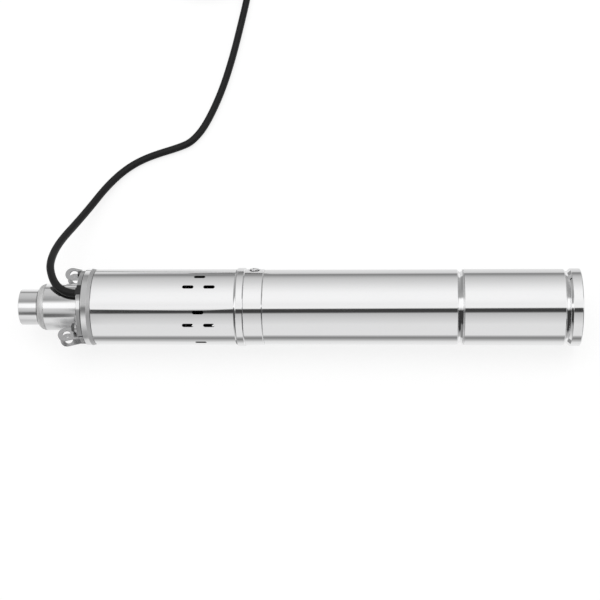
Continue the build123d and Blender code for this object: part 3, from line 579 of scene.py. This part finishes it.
def spring_ring(place, angle, lead):
    """The points round the wire at one place on the axis and one angle of the coil."""
    outward = Vector((0, math.cos(angle), math.sin(angle)))
    sideways = Vector((0, -math.sin(angle), math.cos(angle)))
    along = (Vector((lead, 0, 0)) + SPRING_RADIUS * sideways).normalized()
    across = along.cross(outward)
    centre = Vector((place, 0, 0)) + SPRING_RADIUS * outward
    turns = [2 * math.pi * point / SPRING_ROUND_POINTS for point in range(SPRING_ROUND_POINTS)]
    return [centre + SPRING_WIRE / 2 * (math.cos(turn) * outward + math.sin(turn) * across) for turn in turns]


def make_spring(start, stop):
    """A round wire coiled about the pump's axis, touching both stations."""
    height = stop - start - SPRING_WIRE
    steps = round(SPRING_TURNS * SPRING_TURN_POINTS)
    lead = height / (2 * math.pi * SPRING_TURNS)
    vertices = []
    for step in range(steps + 1):
        place = start + SPRING_WIRE / 2 + height * step / steps
        vertices += spring_ring(place, 2 * math.pi * SPRING_TURNS * step / steps, lead)
    faces = []
    for first in range(0, steps * SPRING_ROUND_POINTS, SPRING_ROUND_POINTS):
        second = first + SPRING_ROUND_POINTS
        for point in range(SPRING_ROUND_POINTS):
            following = (point + 1) % SPRING_ROUND_POINTS
            faces.append((first + point, second + point, second + following, first + following))
    faces.append(tuple(range(SPRING_ROUND_POINTS)))
    faces.append(tuple(reversed(range(steps * SPRING_ROUND_POINTS, len(vertices)))))
    mesh = bpy.data.meshes.new("lift_spring")
    mesh.from_pydata(vertices, [], faces)
    mesh.validate()
    mesh.shade_smooth()
    spring = bpy.data.objects.new("lift_spring", mesh)
    bpy.context.scene.collection.objects.link(spring)
    return spring


# What a user can change

class PumpCableSettings(bpy.types.PropertyGroup):
    """Sizes and colour of the supply cable."""

    diameter: FloatProperty(
        name="Cable Diameter", description="Outside diameter of the rubber jacket",
        default=0.008, min=0.004, max=0.016, unit="LENGTH", precision=4)
    length: FloatProperty(
        name="Cable Length", description="Length of the jacketed cable from the head to the bare cores",
        default=2.09, min=1.0, max=3.0, unit="LENGTH")
    colour: FloatVectorProperty(
        name="Jacket Colour", description="Colour of the rubber jacket", subtype="COLOR",
        default=(0.008, 0.008, 0.0084), min=0.0, max=1.0)
    roughness: FloatProperty(
        name="Jacket Roughness", description="How dull the rubber jacket is",
        default=0.48, min=0.0, max=1.0, subtype="FACTOR")


class PumpFinishSettings(bpy.types.PropertyGroup):
    """Colours and gloss of the pump's metals, rubbers and windings."""

    steel_colour: FloatVectorProperty(
        name="Stainless Colour", description="Colour of the polished stainless casing", subtype="COLOR",
        default=(0.905, 0.905, 0.91), min=0.0, max=1.0)
    steel_roughness: FloatProperty(
        name="Stainless Roughness", description="Roughness of the polished casing at its brightest",
        default=0.035, min=0.0, max=0.5, subtype="FACTOR")
    satin_colour: FloatVectorProperty(
        name="Satin Colour", description="Colour of the ears, washers and unpolished stainless",
        default=(0.56, 0.56, 0.565), min=0.0, max=1.0, subtype="COLOR")
    rubber_colour: FloatVectorProperty(
        name="Rubber Colour", description="Colour of the grommet, gaskets and pump stator", subtype="COLOR",
        default=(0.016, 0.016, 0.017), min=0.0, max=1.0)
    winding_colour: FloatVectorProperty(
        name="Winding Colour", description="Colour of the enamelled copper wire", subtype="COLOR",
        default=(0.62, 0.22, 0.075), min=0.0, max=1.0)


class PumpStudioSettings(bpy.types.PropertyGroup):
    """Camera, floor and light of the studio."""

    lens: FloatProperty(
        name="Lens", description="Focal length of the camera on a 36 mm sensor, in millimetres",
        default=82.9, min=20.0, max=200.0, unit="CAMERA")
    floor_colour: FloatVectorProperty(
        name="Floor Colour", description="Colour of the floor and of what lies behind it", subtype="COLOR",
        default=(1.0, 1.0, 1.0), min=0.0, max=1.0)
    soft_light: FloatProperty(
        name="Soft Light", description="Level of the even light from all round",
        default=0.72, min=0.0, max=2.0)
    lamp_power: FloatProperty(
        name="Lamp Power", description="Power of the large overhead lamp",
        default=5.0, min=0.0, unit="POWER")


# Camera and studio

CAMERA_PLACE = Vector((0.38392, -0.62878, 1.23404))
CAMERA_AIM = Vector((0.2837, 0.00627, 0.00319))
CAMERA_SENSOR = 36.0
CAMERA_REACH = 20.0
LAMP_PLACE = (0.28, 0.15, 1.4)
LAMP_SIZE = (1.6, 0.9)
FLOOR_REACH = 4.0
FLOOR_GAP = 0.0002
FLOOR_SHADE = 0.3
FLOOR_GLOW = 0.76

# Brightness that polished metal sees in each direction round the pump, by degrees from straight up
# towards the front: overhead panel, dark edge in front of it, front card, dark gap and floor.
ROOM_BANDS = (
    (-180, 0.88), (-150, 0.82), (-122, 0.78), (-104, 0.70), (-100, 0.60), (-96, 0.29), (-91, 0.25),
    (-85, 0.35), (-80, 0.46), (-74, 0.56), (-66, 0.63), (-57, 0.69), (-45, 0.79), (-30, 0.915),
    (-18, 0.985), (-4, 1.0), (6, 0.99), (18, 0.93), (28, 0.95), (30.5, 0.90), (32, 0.06), (41.5, 0.045),
    (43.5, 0.16), (46.5, 0.53), (60, 0.65), (82, 0.805), (121, 0.81), (128, 0.40), (135, 0.225),
    (141, 0.33), (159, 0.80), (180, 0.88),
)
# The same beyond the outlet end, where the panels end and a narrower one hangs above the neck.
OUTLET_BANDS = (
    (-180, 0.77), (-126, 0.99), (-106, 0.88), (-92, 0.66), (-80, 0.22), (-70, 0.62), (-51, 0.59),
    (-35, 0.53), (-21, 0.42), (-10, 0.34), (-3, 0.42), (5, 0.83), (11, 1.1), (25, 1.1), (31, 1.06),
    (37, 0.69), (49, 0.61), (57, 0.45), (61, 0.28), (65, 0.13), (76, 0.13), (82, 0.55), (87, 0.8),
    (107, 0.77), (120, 0.61), (126, 0.6), (150, 0.7), (180, 0.77),
)
# Farther round the outlet end, as the slightly tapered head ring sees it.
RING_BANDS = (
    (-180, 0.28), (-97, 0.37), (-80, 0.3), (-62, 0.38), (-50, 0.5), (-40, 0.535), (14, 0.535), (20, 0.52),
    (25, 0.42), (29, 0.23), (34, 0.215), (39, 0.235), (45, 0.34), (52, 0.54), (58, 0.7), (67, 0.8),
    (77, 0.74), (87, 0.63), (97, 0.51), (108, 0.38), (121, 0.345), (134, 0.27), (151, 0.265), (180, 0.28),
)
# And as the more tapered rim of the flange sees it.
FLANGE_BANDS = (
    (-180, 0.3), (-40, 0.3), (-5, 0.3), (4, 0.5), (10, 0.93), (14, 0.945), (28, 0.94), (32, 0.88), (36, 0.4),
    (40, 0.32), (58, 0.31), (77, 0.28), (97, 0.25), (121, 0.27), (180, 0.3),
)
# The room's two ends, which only grooves, bevels and rolled edges see.
END_BANDS = (
    (-180, 0.77), (-120, 0.66), (-95, 0.33), (-80, 0.44), (-60, 0.36), (-30, 0.33), (-9, 0.42), (-1, 1.1),
    (28, 1.1), (35, 0.5), (40, 0.04), (112, 0.04), (126, 0.4), (140, 0.5), (160, 0.8), (180, 0.77),
)
MARGIN_LEVEL = 0.92

# How far a direction leans along the axis where one set of bands passes into the next.
OUTLET_LEAN = (-0.226, -0.232)
RING_LEAN = (-0.273, -0.282)
FLANGE_LEAN = (-0.34, -0.352)
OUTLET_END_LEAN = (-0.485, -0.5)
MARGIN_LEAN = (0.22, 0.25)
MOTOR_END_LEAN = (0.36, 0.39)
# The part of a turn by which the room's bands slant for a direction along the axis.
BAND_SLANT = 0.046


def aim_camera(settings):
    """A camera that keeps the pump's axis level in the picture."""
    forward = (CAMERA_AIM - CAMERA_PLACE).normalized()
    along = Vector((1.0, 0.0, 0.0))
    right = (along - forward * along.dot(forward)).normalized()
    up = right.cross(forward)
    lens = bpy.data.cameras.new("studio_lens")
    lens.sensor_width = CAMERA_SENSOR
    lens.lens = settings.lens
    lens.clip_end = CAMERA_REACH
    camera = bpy.data.objects.new("studio_camera", lens)
    turn = Matrix((right, up, -forward)).transposed().to_4x4()
    camera.matrix_world = Matrix.Translation(CAMERA_PLACE) @ turn
    bpy.context.scene.collection.objects.link(camera)
    bpy.context.scene.camera = camera


def ring_of_bands(graph, angle, bands):
    """The brightness at an angle, from bands given by degrees."""
    stops = [(degrees / 360 + 0.5, level) for degrees, level in bands]
    return graph.node("ShaderNodeValToRGB", {"stops": stops}, {0: angle})


def light_room(settings):
    """White for the camera, banded panels for what shines, and an even level for the rest."""
    world = bpy.data.worlds.new("studio_room")
    bpy.context.scene.world = world
    graph = Graph(world)
    x, y, z = graph.parts(graph.node("ShaderNodeTexCoord", output="Generated"))
    angle = graph.maths("ARCTAN2", y * -1.0, z) / (2 * math.pi) + 0.5
    ends = ring_of_bands(graph, angle, END_BANDS)
    bands = ring_of_bands(graph, angle + BAND_SLANT * x, ROOM_BANDS)
    for lean, beyond in (
        (OUTLET_LEAN, ring_of_bands(graph, angle, OUTLET_BANDS)),
        (MARGIN_LEAN, MARGIN_LEVEL),
        (RING_LEAN, ring_of_bands(graph, angle, RING_BANDS)),
        (FLANGE_LEAN, ring_of_bands(graph, angle, FLANGE_BANDS)),
        (OUTLET_END_LEAN, ends),
        (MOTOR_END_LEAN, ends),
    ):
        bands = graph.blend(graph.between(x, *lean), bands, beyond)
    white_colour = opaque(settings.floor_colour)
    from_camera = graph.node("ShaderNodeLightPath", output="Is Camera Ray")
    from_gloss = graph.node("ShaderNodeLightPath", output="Is Glossy Ray")
    even = graph.node("ShaderNodeBackground", sockets={"Color": opaque(1.0), "Strength": settings.soft_light})
    panels = graph.node("ShaderNodeBackground", sockets={"Color": bands, "Strength": 1.0})
    white = graph.node("ShaderNodeBackground", sockets={"Color": white_colour, "Strength": 1.0})
    lit = graph.node("ShaderNodeMixShader", sockets={0: from_gloss, 1: even, 2: panels})
    seen = graph.node("ShaderNodeMixShader", sockets={0: from_camera, 1: lit, 2: white})
    graph.finish(seen, "ShaderNodeOutputWorld")


def lay_floor(settings):
    """A pale floor under the pump that keeps its shadow."""
    low, high = CAD_BOX
    middle = [(a + b) / 2 for a, b in zip(low, high)]
    corners = [
        (middle[0] + side_x * FLOOR_REACH, middle[1] + side_y * FLOOR_REACH, low[2] - FLOOR_GAP)
        for side_x, side_y in ((-1, -1), (1, -1), (1, 1), (-1, 1))
    ]
    sheet = bpy.data.meshes.new("studio_floor_sheet")
    sheet.from_pydata(corners, [], [(0, 1, 2, 3)])
    floor = bpy.data.objects.new("studio_floor", sheet)
    bpy.context.scene.collection.objects.link(floor)
    floor.visible_glossy = False
    material, graph = new_material("pale_floor")
    from_camera = graph.node("ShaderNodeLightPath", output="Is Camera Ray")
    matt_colour = opaque(shade(settings.floor_colour, FLOOR_SHADE))
    matt = graph.node("ShaderNodeBsdfDiffuse", sockets={"Color": matt_colour})
    glow = graph.node(
        "ShaderNodeEmission", sockets={"Color": opaque(settings.floor_colour), "Strength": FLOOR_GLOW})
    both = graph.node("ShaderNodeAddShader", sockets={0: matt, 1: glow})
    graph.finish(graph.node("ShaderNodeMixShader", sockets={0: from_camera, 1: matt, 2: both}))
    sheet.materials.append(material)


def hang_lamp(settings):
    """One large lamp overhead, for the soft shadow."""
    lamp = bpy.data.lights.new("studio_lamp_light", "AREA")
    lamp.shape = "RECTANGLE"
    lamp.size, lamp.size_y = LAMP_SIZE
    lamp.energy = settings.lamp_power
    holder = bpy.data.objects.new("studio_lamp", lamp)
    holder.location = LAMP_PLACE
    holder.visible_glossy = False
    bpy.context.scene.collection.objects.link(holder)


# Operators

class PUMP_OT_studio(bpy.types.Operator):
    """Set up the camera, the floor and the light"""

    bl_idname = "pump.studio"
    bl_label = "Set Up Studio"

    def execute(self, context):
        settings = context.scene.pump_studio
        aim_camera(settings)
        light_room(settings)
        lay_floor(settings)
        hang_lamp(settings)
        return {"FINISHED"}


class PUMP_OT_cable(bpy.types.Operator):
    """Lay the supply cable from the head to its coil and bare end"""

    bl_idname = "pump.cable"
    bl_label = "Lay Supply Cable"

    def execute(self, context):
        settings = context.scene.pump_cable
        cable = make_cable(settings)
        cable.data.materials.append(rubber("cable_jacket", settings.colour, settings.roughness, gloss=0.32))
        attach(cable, "casing")
        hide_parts("supply_cable", "supply_cable_coil", "supply_cable_tail")
        return {"FINISHED"}


class PUMP_OT_casing(bpy.types.Operator):
    """Polish the stainless casing"""

    bl_idname = "pump.casing"
    bl_label = "Finish Casing"

    def execute(self, context):
        settings = context.scene.pump_finish
        steel = (settings.steel_colour, settings.steel_roughness)
        dress(("seal_housing", "motor_tube", "lower_tube", "oil_plug"),
              mirror_steel("polished_stainless", *steel))
        dress(("lower_bearing_seat",), grooved_steel(
            "waist_stainless", *steel, middle=WAIST_MIDDLE, fall=WAIST_HALF, rise=WAIST_HALF,
            easing=WAIST_EASING))
        dress(("end_cap",), grooved_steel(
            "cap_stainless", *steel, middle=CAP_GROOVE_MIDDLE, fall=CAP_GROOVE_FALL, rise=0.0,
            easing=CAP_GROOVE_EASING))
        # Painted dark reflection: the screws' colour is darkened so that their facets read black.
        dress(("head_screws",), mirror_steel(
            "screw_painted_reflection", shade(settings.steel_colour, SCREW_PAINTED_REFLECTION), SCREW_ROUGHNESS))
        dress(("discharge_head",), head_steel("head_stainless", *steel))
        dress(("pump_tube",), slotted_steel("slotted_stainless", *steel))
        dress(("head_ring",), ring_steel("ring_stainless", *steel))
        satin = plain_metal("satin_stainless", settings.satin_colour, 0.24)
        dress(("lifting_ear_1", "lifting_ear_2", "lifting_ear_3", "lifting_ear_4", "head_washers"), satin)
        black = rubber("seal_rubber", settings.rubber_colour, 0.5)
        dress(("cable_grommet", "head_gasket", "plug_washer", "cap_oring", "cable_gland"), black)
        return {"FINISHED"}


class PUMP_OT_pump_end(bpy.types.Operator):
    """Finish the check valve, the screw pump and its drive"""

    bl_idname = "pump.pump_end"
    bl_label = "Finish Pump End"

    def execute(self, context):
        settings = context.scene.pump_finish
        dress(("valve_seat", "valve_guide", "seal_collar"),
              turned_steel("turned_stainless", settings.satin_colour, 0.28))
        # The stator sleeve and coupling are near black partly as a dark finish and partly as painted shade,
        # so that the slots show black.
        dress(("stator_sleeve", "drive_coupling"), turned_steel("dark_steel_and_painted_shade", (0.05, 0.05, 0.052), 0.42))
        dress(("screw_rotor",), turned_steel("chromed_rotor", (0.86, 0.87, 0.89), 0.09, pitch=0.0002))
        dress(("flexible_shaft",), rubber("shaft_sheath", settings.rubber_colour, 0.5))
        dress(("valve_poppet", "sand_slinger", "seal_bellows"),
              rubber("moulded_rubber", settings.rubber_colour, 0.58))
        dress(("stator_rubber",), rubber(
            "pump_rubber", shade(settings.rubber_colour, 1.6), 0.62, grain=900.0, depth=0.00002))
        dress(("seal_seat",), ceramic("seal_ceramic", (0.82, 0.79, 0.7), 0.22))
        dress(("seal_ring",), ceramic("seal_carbon", (0.025, 0.025, 0.027), 0.3))
        return {"FINISHED"}


class PUMP_OT_valve_spring(bpy.types.Operator):
    """Wind the check valve's spring as a fixed coil; on the real pump it shortens as the valve lifts"""

    bl_idname = "pump.valve_spring"
    bl_label = "Wind Valve Spring"

    def execute(self, context):
        low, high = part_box("valve_spring")
        wire = plain_metal(
            "spring_wire", context.scene.pump_finish.satin_colour, 0.2, grain=2200.0, depth=0.000002)
        spring = make_spring(low.x, high.x)
        spring.data.materials.append(wire)
        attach(spring, "casing")
        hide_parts("valve_spring")
        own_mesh(spring)
        return {"FINISHED"}


class PUMP_OT_motor(bpy.types.Operator):
    """Finish the motor, its bearings and its core"""

    bl_idname = "pump.motor"
    bl_label = "Finish Motor"

    def execute(self, context):
        settings = context.scene.pump_finish
        dress(("upper_bearing_seat", "rotor_end_rings"),
              plain_metal("cast_aluminium", (0.63, 0.64, 0.65), 0.5, grain=420.0, depth=0.00006))
        dress(("motor_shaft",), turned_steel("ground_shaft", (0.72, 0.73, 0.74), 0.16, pitch=0.0002))
        dress(("upper_outer_race", "upper_inner_race", "lower_outer_race", "lower_inner_race"),
              turned_steel("bearing_steel", (0.66, 0.67, 0.69), 0.12, pitch=0.00015))
        dress(("upper_balls", "lower_balls"),
              plain_metal("ball_steel", (0.78, 0.79, 0.8), 0.05, grain=3000.0, depth=0.0000004))
        dress(("upper_cage", "lower_cage", "retaining_ring", "capacitor_clamp"),
              plain_metal("pressed_steel", (0.55, 0.54, 0.5), 0.3))
        dress(("rotor_core", "stator_core"), laminations("core_steel", (0.4, 0.4, 0.42)))
        dress(("stator_windings",), enamelled_wire("winding", settings.winding_colour))
        return {"FINISHED"}


class PUMP_OT_wiring(bpy.types.Operator):
    """Finish the capacitor, the inner cable and the bare cores"""

    bl_idname = "pump.wiring"
    bl_label = "Finish Wiring"

    def execute(self, context):
        cable = context.scene.pump_cable
        dress(("inner_cable",), rubber("inner_jacket", cable.colour, cable.roughness))
        dress(("capacitor",), rubber("capacitor_case", (0.55, 0.56, 0.58), 0.35, grain=500.0, depth=0.00001))
        for node, colour in (
            ("core_live", (0.16, 0.055, 0.02)),
            ("core_neutral", (0.03, 0.12, 0.45)),
            ("core_earth", (0.12, 0.33, 0.03)),
        ):
            dress((node,), rubber(node + "_cover", colour, 0.42, grain=1800.0, depth=0.000006))
        return {"FINISHED"}


class PUMP_PT_panel(bpy.types.Panel):
    """Sizes, colours and steps of the borehole pump"""

    bl_label = "Borehole Pump"
    bl_idname = "PUMP_PT_panel"
    bl_space_type = "VIEW_3D"
    bl_region_type = "UI"
    bl_category = "Borehole Pump"

    def draw(self, context):
        layout = self.layout
        for group in (context.scene.pump_studio, context.scene.pump_cable, context.scene.pump_finish):
            box = layout.box()
            for name in group.__annotations__:
                box.prop(group, name)
        for step in STEPS:
            layout.operator(step.bl_idname)


STEPS = (
    PUMP_OT_studio, PUMP_OT_cable, PUMP_OT_casing, PUMP_OT_pump_end, PUMP_OT_valve_spring, PUMP_OT_motor,
    PUMP_OT_wiring,
)
CLASSES = (PumpCableSettings, PumpFinishSettings, PumpStudioSettings, *STEPS, PUMP_PT_panel)


def register():
    """Makes the classes and the settings known."""
    for each in CLASSES:
        bpy.utils.register_class(each)
    bpy.types.Scene.pump_cable = PointerProperty(type=PumpCableSettings)
    bpy.types.Scene.pump_finish = PointerProperty(type=PumpFinishSettings)
    bpy.types.Scene.pump_studio = PointerProperty(type=PumpStudioSettings)


def unregister():
    """Takes the settings and the classes away again."""
    del bpy.types.Scene.pump_cable
    del bpy.types.Scene.pump_finish
    del bpy.types.Scene.pump_studio
    for each in reversed(CLASSES):
        bpy.utils.unregister_class(each)


def main():
    """Dresses the pump step by step."""
    register()
    bpy.context.scene.view_settings.view_transform = "Standard"
    for step in STEPS:
        group, name = step.bl_idname.split(".")
        getattr(getattr(bpy.ops, group), name)()


if __name__ == "__main__":
    main()
